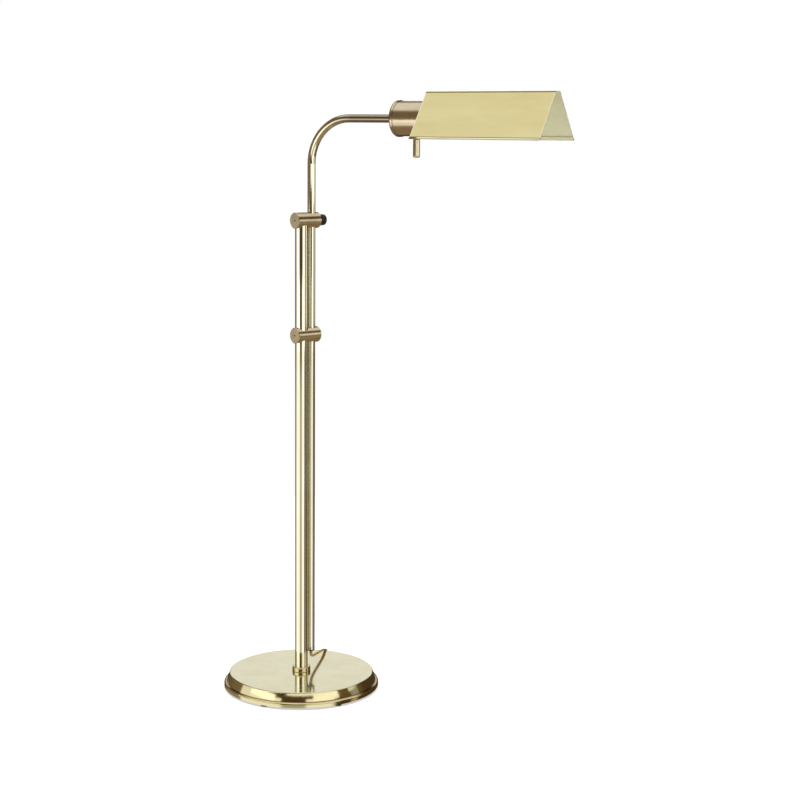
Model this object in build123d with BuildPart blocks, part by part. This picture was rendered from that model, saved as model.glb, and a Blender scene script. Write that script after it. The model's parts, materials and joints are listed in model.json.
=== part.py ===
from build123d import *
import math
import os

# Pharmacy floor lamp, in millimetres. The origin is the middle of the base on the floor,
# +Z is up and +X runs along the arm. Each sub-part has its own function and its own file.

# Base
foot_height = 3.8
foot_radius = 6.0
foot_ring = 116.5
foot_count = 6
foot_first_angle = -24.0
flange_radius = 127.0
flange_top = 11.9
shell_radius = 118.0
shell_top = 26.0
rim_round = 1.6
cove_foot = 122.7
cove_bow = 0.3
bead_round = 3.4
shell_wall = 1.2
plate_thickness = 1.2
weight_radius = 112.0
weight_thickness = 11.0
boss_ring = 60.0
boss_radius = 7.0
plate_screw_radius = 1.9
plate_screw_head = 3.8
rod_radius = 5.0
rod_bottom = 6.0
rod_top = 52.0
washer_radius = 15.0
washer_thickness = 1.5
nut_across = 17.0
nut_thickness = 6.0

# Column
column_radius = 10.5
column_wall = 1.2
column_top = 770.0
collar_radius = 15.0
collar_height = 7.5
foot_plug_height = 32.0

# Clamps: turned bars lying across the two tubes
clamp_radius = 12.7
clamp_back = 14.3
clamp_front = 31.5
clamp_heights = (583.5, 766.8)
tube_spacing = 20.0
spacing_angle = 75.0
bushing_wall = 0.97
bushing_half = 10.0
grub_radius = 2.5
lock_screw_radius = 3.0
knob_gap = 0.2
knob_length = 14.1
knob_radius = 9.6
knob_end_radius = 8.5
flute_count = 24
flute_radius = 0.5

# Stem: one tube, bent over into the arm
stem_radius = 6.35
stem_wall = 1.2
stem_bottom = 58.5
arm_height = 927.3
bend_radius = 71.3
arm_reach = 162.0
running = 0.03
bore_gap = 0.05
axial_gap = 0.15
lead_radius = 2.4
bushing_bore = 2.9
bushing_lip = 2.0
bushing_depth = 7.5

# Head: the housing, the lampholder, the switch and the shade
friction_thickness = 1.2
cap_start = 163.35
cap_thickness = 2.0
cap_radius = 27.9
cap_skirt = 5.5
housing_radius = 26.7
housing_wall = 0.9
housing_end = 240.0
nipple_inside = 14.0
nipple_bore = 3.3
spring_washer = 1.2
locknut_thickness = 4.0
socket_start = 208.0
socket_length = 38.0
socket_radius = 18.5
socket_bore = 14.2
socket_floor = 7.0
screw_shell_wall = 0.5
standoff_radius = 2.2
standoff_offset = 14.0
bulb_cap_radius = 13.1
bulb_radius = 15.9
bulb_end = 366.0
bulb_wall = 1.0
switch_place = 197.0
switch_neck_radius = 5.0
switch_body_size = 15.0
switch_body_height = 10.0
switch_nut_radius = 8.0
switch_nut_height = 2.5
switch_knob_radius = 5.35
switch_knob_top = 896.0
switch_knob_bottom = 868.5
shaft_radius = 2.5
shade_start = 217.0
shade_length = 221.0
shade_rise = 40.5
shade_drop = 30.4
ridge_half = 6.0
mouth_half = 53.9
shade_sheet = 0.8
ridge_fillet = 3.0
hem_height = 5.0
saddle_length = 14.0
saddle_half = 3.8
saddle_screw_radius = 1.5

# Cord: a lead leaves the stem's lower end and its spare length lies tied behind the base
cord_radius = 2.5
cord_route = [
    (5.2, 19.3, 56.5),
    (5.2, 19.3, 45.0),
    (-4.0, 43.0, 40.5),
    (-31.0, 114.5, 30.5),
    (-49.6, 141.7, 8.0),
    (-78.1, 147.2, 2.6),
    (-100.5, 167.3, 2.6),
]
trail_angle = 126.0
hank_side = 11.5
hank_length = 129.0
hank_width = 29.0
hank_height = 16.0
tail_route = [
    (0.0, 11.5, 13.4),
    (12.0, 11.5, 13.4),
    (34.0, 2.0, 7.0),
    (46.0, 2.0, 7.0),
]
tie_width = 9.0
tie_wall = 1.0
plug_length = 30.0
plug_width = 24.0
plug_height = 14.0
plug_neck = 9.0
plug_taper = 9.0
blade_length = 17.0
blade_width = 6.3
blade_thick = 1.5
blade_gap = 12.7

# Places worked out from the sizes above
weight_top = shell_top - shell_wall
tail_run = tail_route[-1][0]
plug_side = tail_route[-1][1]
weight_bottom = weight_top - weight_thickness
plate_top = foot_height + plate_thickness
stem_x = tube_spacing * math.cos(math.radians(spacing_angle))
stem_y = tube_spacing * math.sin(math.radians(spacing_angle))
stem_bore = stem_radius - stem_wall
arm_end = stem_x + arm_reach
head_x = stem_x + cap_start
housing_bottom = arm_height - housing_radius

os.makedirs("parts", exist_ok=True)


def across(offset, height):
    """A plane square to a clamp's bar, at a distance along the bar from the column's axis."""
    turn = math.radians(spacing_angle)
    direction = (math.cos(turn), math.sin(turn), 0)
    return Plane(
        origin=(offset * direction[0], offset * direction[1], height), x_dir=(0, 0, 1), z_dir=direction
    )


def along_arm(reach):
    """A plane square to the arm's axis, at a reach from the stem's axis."""
    return Plane(origin=(stem_x + reach, stem_y, arm_height), x_dir=(0, 1, 0), z_dir=(1, 0, 0))


def save(piece, name):
    piece.part.label = name
    export_step(piece.part, "parts/" + name + ".step")


def base_outline(inset):
    """Half the base cover's section, seen from the side, in from the outside face."""
    rim = shell_radius - inset
    foot = cove_foot - inset
    edge = flange_radius - inset
    top = shell_top - inset
    step = flange_top - inset
    round_rim = rim_round - inset / 2
    corner = math.sqrt(0.5)
    with BuildLine() as outline:
        Line((0, foot_height), (0, top))
        Line((0, top), (rim - round_rim, top))
        ThreePointArc(
            (rim - round_rim, top),
            (rim - round_rim * (1 - corner), top - round_rim * (1 - corner)),
            (rim, top - round_rim),
        )
        SagittaArc((rim, top - round_rim), (foot, step), cove_bow)
        Line((foot, step), (edge - bead_round, step))
        ThreePointArc(
            (edge - bead_round, step),
            (edge - bead_round * (1 - corner), step - bead_round * (1 - corner)),
            (edge, step - bead_round),
        )
        Line((edge, step - bead_round), (edge, foot_height))
        Line((edge, foot_height), (0, foot_height))
    return outline.line


def base_shell():
    with BuildPart() as shell:
        with BuildSketch(Plane.XZ):
            make_face(base_outline(0.0).edges())
            make_face(base_outline(shell_wall).edges(), mode=Mode.SUBTRACT)
        revolve(axis=Axis.Z)
        with Locations((0, 0, shell_top)):
            Hole(rod_radius + 0.2, 2 * shell_wall)
    return shell


def base_weight():
    with BuildPart() as weight:
        with BuildSketch(Plane.XY.offset(weight_bottom)):
            Circle(weight_radius)
        extrude(amount=weight_thickness)
        chamfer(weight.edges().group_by(Axis.Z)[-1], 2.0)
        with BuildSketch(Plane.XY.offset(plate_top)):
            with PolarLocations(boss_ring, 3):
                Circle(boss_radius)
        extrude(amount=weight_bottom - plate_top)
        with Locations((0, 0, weight_top)):
            Hole(rod_radius + 0.3, weight_thickness)
        with BuildSketch(Plane.XY.offset(plate_top)):
            with PolarLocations(boss_ring, 3):
                Circle(plate_screw_radius)
        extrude(amount=11.0, mode=Mode.SUBTRACT)
    return weight


def base_bottom_plate():
    with BuildPart() as plate:
        with BuildSketch(Plane.XY.offset(foot_height)):
            Circle(flange_radius - shell_wall - 0.2)
            with PolarLocations(boss_ring, 3):
                Circle(plate_screw_radius + 0.2, mode=Mode.SUBTRACT)
        extrude(amount=plate_thickness)
    return plate


def plate_screws():
    with BuildPart() as screws:
        with BuildSketch(Plane.XY.offset(foot_height)):
            with PolarLocations(boss_ring, 3):
                Circle(plate_screw_radius)
        extrude(amount=11.0)
        with BuildSketch(Plane.XY.offset(foot_height)):
            with PolarLocations(boss_ring, 3):
                Circle(plate_screw_head)
        extrude(amount=-1.8, taper=20)
    return screws


def foot_pads():
    with BuildPart() as pads:
        with BuildSketch():
            with PolarLocations(foot_ring, foot_count, foot_first_angle):
                Circle(foot_radius)
            Circle(foot_radius)
        extrude(amount=foot_height)
    return pads


def column_rod():
    with BuildPart() as rod:
        with BuildSketch(Plane.XY.offset(rod_bottom)):
            Circle(rod_radius)
        extrude(amount=rod_top - rod_bottom)
        chamfer(rod.edges().filter_by(GeomType.CIRCLE), 0.8)
    return rod


def base_washer():
    with BuildPart() as washer:
        with BuildSketch(Plane.XY.offset(weight_bottom - washer_thickness)):
            Circle(washer_radius)
            Circle(rod_radius + 0.3, mode=Mode.SUBTRACT)
        extrude(amount=washer_thickness)
    return washer


def base_nut():
    with BuildPart() as nut:
        with BuildSketch(Plane.XY.offset(weight_bottom - washer_thickness)):
            RegularPolygon(nut_across / 2, 6, major_radius=False)
            Circle(rod_radius, mode=Mode.SUBTRACT)
        extrude(amount=-nut_thickness)
    return nut


def column_collar():
    with BuildPart() as collar:
        with BuildSketch(Plane.XY.offset(shell_top)):
            Circle(collar_radius)
            Circle(column_radius, mode=Mode.SUBTRACT)
        extrude(amount=collar_height)
        rims = collar.edges().filter_by(GeomType.CIRCLE).sort_by(SortBy.RADIUS)[-2:]
        fillet(rims.sort_by(Axis.Z)[-1], 2.2)
        fillet(rims.sort_by(Axis.Z)[0], 0.8)
    return collar


def column_foot_plug():
    with BuildPart() as plug:
        with BuildSketch(Plane.XY.offset(shell_top)):
            Circle(column_radius - column_wall)
        extrude(amount=foot_plug_height)
        with BuildSketch(Plane.XY.offset(shell_top)):
            Circle(rod_radius)
        extrude(amount=rod_top - shell_top + 1.0, mode=Mode.SUBTRACT)
    return plug


def column_tube():
    with BuildPart() as tube:
        with BuildSketch(Plane.XY.offset(shell_top)):
            Circle(column_radius)
            Circle(column_radius - column_wall, mode=Mode.SUBTRACT)
        extrude(amount=column_top - shell_top)
    return tube


def clamp(height, through):
    """A bar across both tubes, with a bore for each; the upper one caps the column."""
    with BuildPart() as bar:
        with BuildSketch(across(-clamp_back, height)):
            Circle(clamp_radius)
        extrude(amount=clamp_back + clamp_front)
        chamfer(bar.edges().filter_by(GeomType.CIRCLE), 0.8)
        top = height + 2 * clamp_radius if through else column_top
        with BuildSketch(Plane.XY.offset(height - 2 * clamp_radius)):
            Circle(column_radius)
        extrude(amount=top - height + 2 * clamp_radius, mode=Mode.SUBTRACT)
        with BuildSketch(Plane.XY.offset(height - 2 * clamp_radius)):
            with Locations((stem_x, stem_y)):
                Circle(stem_radius + running + bushing_wall)
        extrude(amount=4 * clamp_radius, mode=Mode.SUBTRACT)
        with BuildSketch(across(-clamp_back, height)):
            Circle(grub_radius)
        extrude(amount=clamp_back, mode=Mode.SUBTRACT)
        if not through:
            with BuildSketch(across(tube_spacing, height)):
                Circle(lock_screw_radius + bore_gap)
            extrude(amount=clamp_front, mode=Mode.SUBTRACT)
    return bar


def clamp_bushing(height, with_hole):
    """A nylon sleeve that the stem slides and turns in."""
    with BuildPart() as sleeve:
        with BuildSketch(Plane.XY.offset(height - bushing_half)):
            with Locations((stem_x, stem_y)):
                Circle(stem_radius + running + bushing_wall)
                Circle(stem_radius + running, mode=Mode.SUBTRACT)
        extrude(amount=2 * bushing_half)
        if with_hole:
            with BuildSketch(across(tube_spacing, height)):
                Circle(lock_screw_radius + bore_gap)
            extrude(amount=clamp_front, mode=Mode.SUBTRACT)
    return sleeve


def clamp_set_screws():
    with BuildPart() as grubs:
        for height in clamp_heights:
            with BuildSketch(across(-clamp_back + 0.3, height)):
                Circle(grub_radius)
            extrude(amount=clamp_back - 0.3 - column_radius - 0.02)
            with BuildSketch(across(-clamp_back + 0.3, height)):
                RegularPolygon(1.25, 6, major_radius=False)
            extrude(amount=2.0, mode=Mode.SUBTRACT)
    return grubs


def lock_screw():
    with BuildPart() as screw:
        with BuildSketch(across(tube_spacing + stem_radius + 0.1, clamp_heights[1])):
            Circle(lock_screw_radius)
        extrude(amount=clamp_front - tube_spacing - stem_radius - 0.1 + 9.0)
    return screw


def lock_knob():
    start = clamp_front + knob_gap
    with BuildPart() as knob:
        with BuildSketch(across(start, clamp_heights[1])):
            Circle(knob_radius)
        with BuildSketch(across(start + knob_length, clamp_heights[1])):
            Circle(knob_end_radius)
        loft()
        fillet(knob.faces().sort_by(Axis((0, 0, 0), across(0, 0).z_dir))[-1].edges(), 1.6)
        with BuildSketch(across(start, clamp_heights[1])):
            with PolarLocations(knob_radius - 0.1, flute_count):
                Circle(flute_radius)
        extrude(amount=knob_length - 3.0, taper=-2, mode=Mode.SUBTRACT)
        with BuildSketch(across(start, clamp_heights[1])):
            Circle(lock_screw_radius)
        extrude(amount=9.0 - knob_gap, mode=Mode.SUBTRACT)
    return knob


def stem_line(bottom, reach):
    """The stem's centre line: up, round the bend and out along the arm."""
    with BuildLine() as line:
        Line((stem_x, stem_y, bottom), (stem_x, stem_y, arm_height - bend_radius))
        with BuildLine(Plane(origin=(0, stem_y, 0), x_dir=(1, 0, 0), z_dir=(0, -1, 0))):
            RadiusArc(
                (stem_x, arm_height - bend_radius), (stem_x + bend_radius, arm_height), bend_radius
            )
        Line((stem_x + bend_radius, stem_y, arm_height), (stem_x + reach, stem_y, arm_height))
    return line


def stem_tube():
    line = stem_line(stem_bottom, arm_reach)
    with BuildPart() as tube:
        with BuildSketch(Plane.XY.offset(stem_bottom)):
            with Locations((stem_x, stem_y)):
                Circle(stem_radius)
                Circle(stem_bore, mode=Mode.SUBTRACT)
        sweep(path=line.wire())
    return tube


def stem_lead():
    """The lead inside the stem, from the cord bushing to the housing."""
    bottom = stem_bottom + bushing_depth + 1.0
    line = stem_line(bottom, arm_reach + nipple_inside)
    with BuildPart() as lead:
        with BuildSketch(Plane.XY.offset(bottom)):
            with Locations((stem_x, stem_y)):
                Circle(lead_radius)
        sweep(path=line.wire())
    return lead


def cord_bushing():
    with BuildPart() as bushing:
        with BuildSketch(Plane.XY.offset(stem_bottom - bushing_lip)):
            with Locations((stem_x, stem_y)):
                Circle(stem_radius)
        extrude(amount=bushing_lip - axial_gap)
        chamfer(bushing.edges().group_by(Axis.Z)[0], 0.5)
        with BuildSketch(Plane.XY.offset(stem_bottom - axial_gap)):
            with Locations((stem_x, stem_y)):
                Circle(stem_bore - bore_gap)
        extrude(amount=bushing_depth)
        with BuildSketch(Plane.XY.offset(stem_bottom - bushing_lip)):
            with Locations((stem_x, stem_y)):
                Circle(bushing_bore)
        extrude(amount=bushing_lip + bushing_depth, mode=Mode.SUBTRACT)
    return bushing


def arm_nipple():
    """The hollow threaded pin in the arm's end, which the head turns on."""
    with BuildPart() as nipple:
        with BuildSketch(along_arm(arm_reach - 18.0)):
            Circle(stem_bore)
            Circle(nipple_bore, mode=Mode.SUBTRACT)
        extrude(amount=18.0 + nipple_inside)
    return nipple


def friction_washer():
    with BuildPart() as washer:
        with BuildSketch(along_arm(arm_reach)):
            Circle(stem_radius + 2.5)
            Circle(stem_bore, mode=Mode.SUBTRACT)
        extrude(amount=friction_thickness)
    return washer


def arm_spring_washer():
    with BuildPart() as washer:
        with BuildSketch(along_arm(cap_start + cap_thickness + axial_gap)):
            Circle(9.0)
            Circle(stem_bore, mode=Mode.SUBTRACT)
        extrude(amount=spring_washer)
    return washer


def arm_locknut():
    with BuildPart() as nut:
        with BuildSketch(along_arm(cap_start + cap_thickness + axial_gap + spring_washer)):
            RegularPolygon(7.5, 6, major_radius=False)
            Circle(stem_bore, mode=Mode.SUBTRACT)
        extrude(amount=locknut_thickness)
    return nut


def housing_end_cap():
    with BuildPart() as cap:
        with BuildSketch(along_arm(cap_start)):
            Circle(cap_radius)
        extrude(amount=cap_skirt)
        rim = cap.faces().sort_by(Axis.X)[0].edges()
        fillet(rim, 1.4)
        with BuildSketch(along_arm(cap_start + cap_thickness)):
            Circle(housing_radius)
        extrude(amount=cap_skirt, mode=Mode.SUBTRACT)
        with BuildSketch(along_arm(cap_start)):
            Circle(stem_bore + bore_gap)
        extrude(amount=cap_thickness, mode=Mode.SUBTRACT)
    return cap


def socket_housing():
    start = cap_start + cap_thickness
    with BuildPart() as tube:
        with BuildSketch(along_arm(start)):
            Circle(housing_radius)
            Circle(housing_radius - housing_wall, mode=Mode.SUBTRACT)
        extrude(amount=housing_end - start)
        with BuildSketch(Plane.XY.offset(housing_bottom - 1.0)):
            with Locations((stem_x + switch_place, stem_y)):
                Circle(switch_neck_radius)
        extrude(amount=8.0, mode=Mode.SUBTRACT)
        with BuildSketch(Plane.XY.offset(arm_height)):
            with Locations((stem_x + shade_start + saddle_length / 2, stem_y)):
                Circle(saddle_screw_radius + 0.2)
        extrude(amount=housing_radius + 1.0, mode=Mode.SUBTRACT)
    return tube


def lamp_socket():
    with BuildPart() as socket:
        with BuildSketch(along_arm(socket_start)):
            Circle(socket_radius)
        extrude(amount=socket_length)
        chamfer(socket.edges().filter_by(GeomType.CIRCLE), 0.8)
        with BuildSketch(along_arm(socket_start + socket_floor)):
            Circle(socket_bore)
        extrude(amount=socket_length, mode=Mode.SUBTRACT)
    return socket


def socket_screw_shell():
    with BuildPart() as sleeve:
        with BuildSketch(along_arm(socket_start + socket_floor)):
            Circle(socket_bore)
            Circle(socket_bore - screw_shell_wall, mode=Mode.SUBTRACT)
        extrude(amount=socket_length - socket_floor - 3.0)
    return sleeve


def socket_contact():
    with BuildPart() as contact:
        with BuildSketch(along_arm(socket_start + socket_floor)):
            Circle(4.0)
        extrude(amount=1.5)
    return contact


def socket_standoffs():
    start = cap_start + cap_thickness
    with BuildPart() as rods:
        with BuildSketch(along_arm(start)):
            with Locations((standoff_offset, 0), (-standoff_offset, 0)):
                Circle(standoff_radius)
        extrude(amount=socket_start - start)
    return rods


def bulb_cap():
    start = socket_start + socket_floor + 1.5
    with BuildPart() as cap:
        with BuildSketch(along_arm(start)):
            Circle(4.0)
        with BuildSketch(along_arm(start + 5.0)):
            Circle(bulb_cap_radius - 1.5)
        loft()
        with BuildSketch(along_arm(start + 5.0)):
            Circle(bulb_cap_radius)
        extrude(amount=22.0)
    return cap


def bulb_glass():
    start = socket_start + socket_floor + 1.5 + 27.0
    with BuildPart() as glass:
        with BuildSketch(along_arm(start)):
            Circle(bulb_cap_radius - 0.5)
        extrude(amount=3.0)
        with BuildSketch(along_arm(start + 3.0)):
            Circle(bulb_radius)
        extrude(amount=bulb_end - start - 3.0)
        fillet(glass.faces().sort_by(Axis.X)[-1].edges(), bulb_radius - 1.0)
        fillet(glass.edges().filter_by(GeomType.CIRCLE).sort_by(SortBy.RADIUS)[-2:].sort_by(Axis.X)[0], 2.5)
        with BuildSketch(along_arm(start + 4.0)):
            Circle(bulb_cap_radius - 0.5 - bulb_wall)
        extrude(amount=bulb_end - start - 18.0, mode=Mode.SUBTRACT)
    return glass


def switch_body():
    """The rotary switch inside the housing, with its threaded neck."""
    neck_top = housing_bottom + 2.5
    with BuildPart() as body:
        with BuildSketch(Plane.XY.offset(neck_top)):
            with Locations((stem_x + switch_place, stem_y)):
                Rectangle(switch_body_size, switch_body_size)
        extrude(amount=switch_body_height)
        fillet(body.edges().filter_by(Axis.Z), 1.5)
        with BuildSketch(Plane.XY.offset(neck_top)):
            with Locations((stem_x + switch_place, stem_y)):
                Circle(switch_neck_radius)
        extrude(amount=switch_knob_top + axial_gap - neck_top)
        with BuildSketch(Plane.XY.offset(switch_knob_top + axial_gap)):
            with Locations((stem_x + switch_place, stem_y)):
                Circle(shaft_radius + bore_gap)
        extrude(amount=12.0, mode=Mode.SUBTRACT)
    return body


def switch_nut():
    with BuildPart() as nut:
        with BuildSketch(Plane.XY.offset(housing_bottom - 0.6)):
            with Locations((stem_x + switch_place, stem_y)):
                Circle(switch_nut_radius)
                Circle(switch_neck_radius, mode=Mode.SUBTRACT)
        extrude(amount=-switch_nut_height)
    return nut


def switch_shaft():
    with BuildPart() as shaft:
        with BuildSketch(Plane.XY.offset(switch_knob_top - 8.0)):
            with Locations((stem_x + switch_place, stem_y)):
                Circle(shaft_radius)
        extrude(amount=8.0 + axial_gap + 11.0)
    return shaft


def switch_knob():
    with BuildPart() as knob:
        with BuildSketch(Plane.XY.offset(switch_knob_bottom)):
            with Locations((stem_x + switch_place, stem_y)):
                Circle(switch_knob_radius)
        extrude(amount=switch_knob_top - switch_knob_bottom)
        fillet(knob.edges().group_by(Axis.Z)[0], 2.6)
        fillet(knob.edges().group_by(Axis.Z)[-1], 0.6)
        with BuildSketch(Plane.XY.offset(switch_knob_top - 8.0)):
            with Locations((stem_x + switch_place, stem_y)):
                Circle(shaft_radius)
        extrude(amount=8.0, mode=Mode.SUBTRACT)
    return knob


def shade_half(height, inset):
    """Half the tent's width at a height above the arm's axis, in from the outside face."""
    slope = (mouth_half - ridge_half) / (shade_rise + shade_drop)
    sideways = inset * math.hypot(1.0, slope)
    return ridge_half + (shade_rise - height) * slope - sideways


def tent_corners(bottom, top, inset):
    """The corners of one four-sided section of the tent between two heights."""
    return [
        (-shade_half(bottom, inset), bottom),
        (-shade_half(top, inset), top),
        (shade_half(top, inset), top),
        (shade_half(bottom, inset), bottom),
    ]


def shade():
    """A folded sheet, open at both ends, with a doubled hem along each lower edge."""
    hem_top = -shade_drop + hem_height
    with BuildPart() as tent:
        with BuildSketch(along_arm(shade_start)) as section:
            Polygon(*tent_corners(-shade_drop, shade_rise, 0.0), align=None)
            fillet(section.vertices().group_by(Axis.Y)[-1], ridge_fillet)
            with BuildSketch(Plane.XY, mode=Mode.PRIVATE) as inside:
                Polygon(*tent_corners(hem_top, shade_rise - shade_sheet, shade_sheet), align=None)
                fillet(inside.vertices().group_by(Axis.Y)[-1], ridge_fillet - shade_sheet)
                Polygon(*tent_corners(-shade_drop - 1.0, hem_top, 2 * shade_sheet), align=None)
            add(inside.sketch, mode=Mode.SUBTRACT)
        extrude(amount=shade_length)
    return tent


def shade_saddle():
    """The block that carries the shade on the housing, cut to sit on the round."""
    with BuildPart() as saddle:
        with BuildSketch(Plane.XY.offset(arm_height + shade_rise - shade_sheet)):
            with Locations((stem_x + shade_start + saddle_length / 2, stem_y)):
                Rectangle(saddle_length, 2 * saddle_half)
        extrude(amount=-(shade_rise - shade_sheet - housing_radius + 2.0))
        with BuildSketch(along_arm(shade_start - 1.0)):
            Circle(housing_radius)
        extrude(amount=saddle_length + 2.0, mode=Mode.SUBTRACT)
        with BuildSketch(Plane.XY.offset(arm_height)):
            with Locations((stem_x + shade_start + saddle_length / 2, stem_y)):
                Circle(saddle_screw_radius)
        extrude(amount=housing_radius + 8.0, mode=Mode.SUBTRACT)
    return saddle


def shade_screw():
    head_top = arm_height + housing_radius - housing_wall - 0.3
    with BuildPart() as screw:
        with BuildSketch(Plane.XY.offset(head_top)):
            with Locations((stem_x + shade_start + saddle_length / 2, stem_y)):
                Circle(3.0)
        extrude(amount=-2.0)
        fillet(screw.edges().group_by(Axis.Z)[0], 0.9)
        with BuildSketch(Plane.XY.offset(head_top)):
            with Locations((stem_x + shade_start + saddle_length / 2, stem_y)):
                Circle(saddle_screw_radius)
        extrude(amount=8.0)
    return screw


def corner_radii(points):
    """The largest bend that each corner's runs leave room for; an end run is used nearly whole."""
    radii = []
    last = len(points) - 2
    for k in range(1, last + 1):
        into = Vector(*points[k]) - Vector(*points[k - 1])
        out = Vector(*points[k + 1]) - Vector(*points[k])
        room_in = into.length * (0.88 if k == 1 else 0.45)
        room_out = out.length * (0.88 if k == last else 0.45)
        half_turn = math.radians(into.get_angle(out) / 2)
        radii.append(min(room_in, room_out) / math.tan(half_turn))
    return radii


def round_cord(points, plane):
    """A plain round cord along straight runs joined by tangent bends."""
    radii = corner_radii(points)
    with BuildLine() as line:
        FilletPolyline(*points, radius=radii)
    with BuildPart() as cord:
        with BuildSketch(plane):
            Circle(cord_radius)
        sweep(path=line.wire())
    length = line.wire().length
    print("cord bends", [round(r, 1) for r in radii], "length", round(length, 1))
    print("volume", round(cord.part.volume), "expected", round(length * math.pi * cord_radius**2))
    return cord


def trail_point(along, side, height):
    """A point in the trailing hank's own directions: along it, to its right, and up."""
    turn = math.radians(trail_angle)
    end = cord_route[-1]
    right = side - hank_side
    return (
        end[0] + along * math.cos(turn) + right * math.sin(turn),
        end[1] + along * math.sin(turn) - right * math.cos(turn),
        height,
    )


def trail(along, side, height):
    """A plane square to the trailing hank."""
    turn = math.radians(trail_angle)
    return Plane(
        origin=trail_point(along, side, height),
        x_dir=(math.sin(turn), -math.cos(turn), 0),
        z_dir=(math.cos(turn), math.sin(turn), 0),
    )


def cord_tube():
    return round_cord(cord_route, Plane(origin=cord_route[0], z_dir=(0, 0, -1)))


def cord_hank():
    with BuildPart() as hank:
        with BuildSketch(trail(0, 0, tie_wall + hank_height / 2)):
            RectangleRounded(hank_width, hank_height, 4.0)
        extrude(amount=hank_length)
    return hank


def cord_tie():
    with BuildPart() as tie:
        with BuildSketch(trail((hank_length - tie_width) / 2, 0, tie_wall + hank_height / 2)):
            RectangleRounded(hank_width + 2 * tie_wall, hank_height + 2 * tie_wall, 4.5)
            RectangleRounded(hank_width, hank_height, 4.0, mode=Mode.SUBTRACT)
        extrude(amount=tie_width)
    return tie


def cord_tail():
    points = [trail_point(hank_length + along, side, height) for along, side, height in tail_route]
    return round_cord(points, trail(hank_length, hank_side, tail_route[0][2]))


def plug_body():
    start = hank_length + tail_run
    with BuildPart() as plug:
        with BuildSketch(trail(start, plug_side, plug_height / 2)):
            RectangleRounded(plug_neck, plug_neck - 2.0, 3.0)
        with BuildSketch(trail(start + plug_taper, plug_side, plug_height / 2)):
            RectangleRounded(plug_width - 4.0, plug_height - 2.0, 3.0)
        loft()
        with BuildSketch(trail(start + plug_taper, plug_side, plug_height / 2)):
            RectangleRounded(plug_width, plug_height, 4.0)
        extrude(amount=plug_length - plug_taper)
        front = Axis((0, 0, 0), trail(0, 0, 0).z_dir)
        fillet(plug.faces().sort_by(front)[-1].edges(), 1.2)
    return plug


def plug_blades():
    start = hank_length + tail_run + plug_length
    with BuildPart() as blades:
        with BuildSketch(trail(start, plug_side, plug_height / 2)):
            with Locations((blade_gap / 2, 0), (-blade_gap / 2, 0)):
                Rectangle(blade_thick, blade_width)
        extrude(amount=blade_length)
    return blades


save(base_shell(), "base_shell")
save(base_weight(), "base_weight")
save(base_bottom_plate(), "base_bottom_plate")
save(plate_screws(), "plate_screws")
save(foot_pads(), "foot_pads")
save(column_rod(), "column_rod")
save(base_washer(), "base_washer")
save(base_nut(), "base_nut")
save(column_collar(), "column_collar")
save(column_foot_plug(), "column_foot_plug")
save(column_tube(), "column_tube")
save(clamp(clamp_heights[0], True), "lower_clamp")
save(clamp(clamp_heights[1], False), "upper_clamp")
save(clamp_bushing(clamp_heights[0], False), "lower_clamp_bushing")
save(clamp_bushing(clamp_heights[1], True), "upper_clamp_bushing")
save(clamp_set_screws(), "clamp_set_screws")
save(lock_screw(), "lock_screw")
save(lock_knob(), "lock_knob")
save(stem_tube(), "stem_tube")
save(stem_lead(), "stem_lead")
save(cord_bushing(), "cord_bushing")
save(arm_nipple(), "arm_nipple")
save(friction_washer(), "friction_washer")
save(arm_spring_washer(), "arm_spring_washer")
save(arm_locknut(), "arm_locknut")
save(housing_end_cap(), "housing_end_cap")
save(socket_housing(), "socket_housing")
save(lamp_socket(), "lamp_socket")
save(socket_screw_shell(), "socket_screw_shell")
save(socket_contact(), "socket_contact")
save(socket_standoffs(), "socket_standoffs")
save(bulb_cap(), "bulb_cap")
save(bulb_glass(), "bulb_glass")
save(switch_body(), "switch_body")
save(switch_nut(), "switch_nut")
save(switch_shaft(), "switch_shaft")
save(switch_knob(), "switch_knob")
save(shade(), "shade")
save(shade_saddle(), "shade_saddle")
save(shade_screw(), "shade_screw")
save(cord_tube(), "cord_tube")
save(cord_hank(), "cord_hank")
save(cord_tie(), "cord_tie")
save(cord_tail(), "cord_tail")
save(plug_body(), "plug_body")
save(plug_blades(), "plug_blades")
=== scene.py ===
import json
import math

import bpy
from mathutils import Matrix, Vector


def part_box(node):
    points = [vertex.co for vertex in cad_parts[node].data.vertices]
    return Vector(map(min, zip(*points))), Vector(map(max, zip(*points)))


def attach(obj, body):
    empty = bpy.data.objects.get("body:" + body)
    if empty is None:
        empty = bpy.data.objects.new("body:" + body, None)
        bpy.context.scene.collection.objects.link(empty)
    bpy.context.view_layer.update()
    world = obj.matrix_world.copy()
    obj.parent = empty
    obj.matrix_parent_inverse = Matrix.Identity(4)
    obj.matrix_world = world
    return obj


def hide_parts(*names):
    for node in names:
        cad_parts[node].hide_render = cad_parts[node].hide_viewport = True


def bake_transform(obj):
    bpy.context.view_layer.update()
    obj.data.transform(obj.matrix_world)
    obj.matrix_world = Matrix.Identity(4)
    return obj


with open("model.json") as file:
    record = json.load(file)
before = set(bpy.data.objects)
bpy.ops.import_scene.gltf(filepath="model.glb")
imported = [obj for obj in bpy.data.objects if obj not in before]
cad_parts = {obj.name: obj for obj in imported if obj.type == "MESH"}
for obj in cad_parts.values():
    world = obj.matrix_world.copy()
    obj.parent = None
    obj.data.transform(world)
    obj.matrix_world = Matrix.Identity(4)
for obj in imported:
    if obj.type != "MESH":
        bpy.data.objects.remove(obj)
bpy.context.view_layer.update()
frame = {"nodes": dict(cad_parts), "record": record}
nodes = frame["nodes"]
joints = {joint["name"]: joint for joint in frame["record"]["behaviour"]["joints"]}
UP = Vector((0.0, 0.0, 1.0))


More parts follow.
